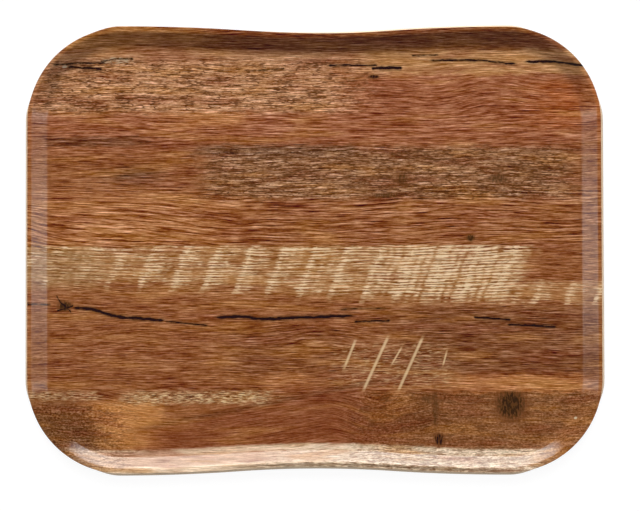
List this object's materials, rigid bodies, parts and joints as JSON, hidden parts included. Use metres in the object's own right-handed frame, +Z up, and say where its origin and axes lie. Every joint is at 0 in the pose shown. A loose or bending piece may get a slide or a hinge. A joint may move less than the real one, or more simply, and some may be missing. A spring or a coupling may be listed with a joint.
{
  "type": "serving tray",
  "caption": "Shallow serving tray of pressed wood laminate with a weathered-wood face, big round corners, long sides that draw in at the middle, a sloped rim and a bare cut edge.",
  "frame": {"origin": "middle of the flat underside, on the surface that the tray stands on", "axes": "+X along the tray's length, +Y across it, +Z up out of the well"},
  "size_m": [0.4572, 0.3556, 0.0152],
  "materials": {
    "overlay": "clear, semi-gloss",
    "decor": "printed reclaimed wood, under a clear film",
    "veneer_along": "bare sanded edge, grain along the tray",
    "veneer_across": "bare sanded edge, grain across the tray",
    "backing": "plain dark balancing laminate, fine texture"
  },
  "bodies": {
    "root": {"overlay_film": "overlay", "decor_sheet": "decor", "face_veneer": "veneer_along", "upper_cross_veneer": "veneer_across", "core_veneer": "veneer_along", "lower_cross_veneer": "veneer_across", "back_veneer": "veneer_along", "backing_sheet": "backing"}
  },
  "joints": []
}
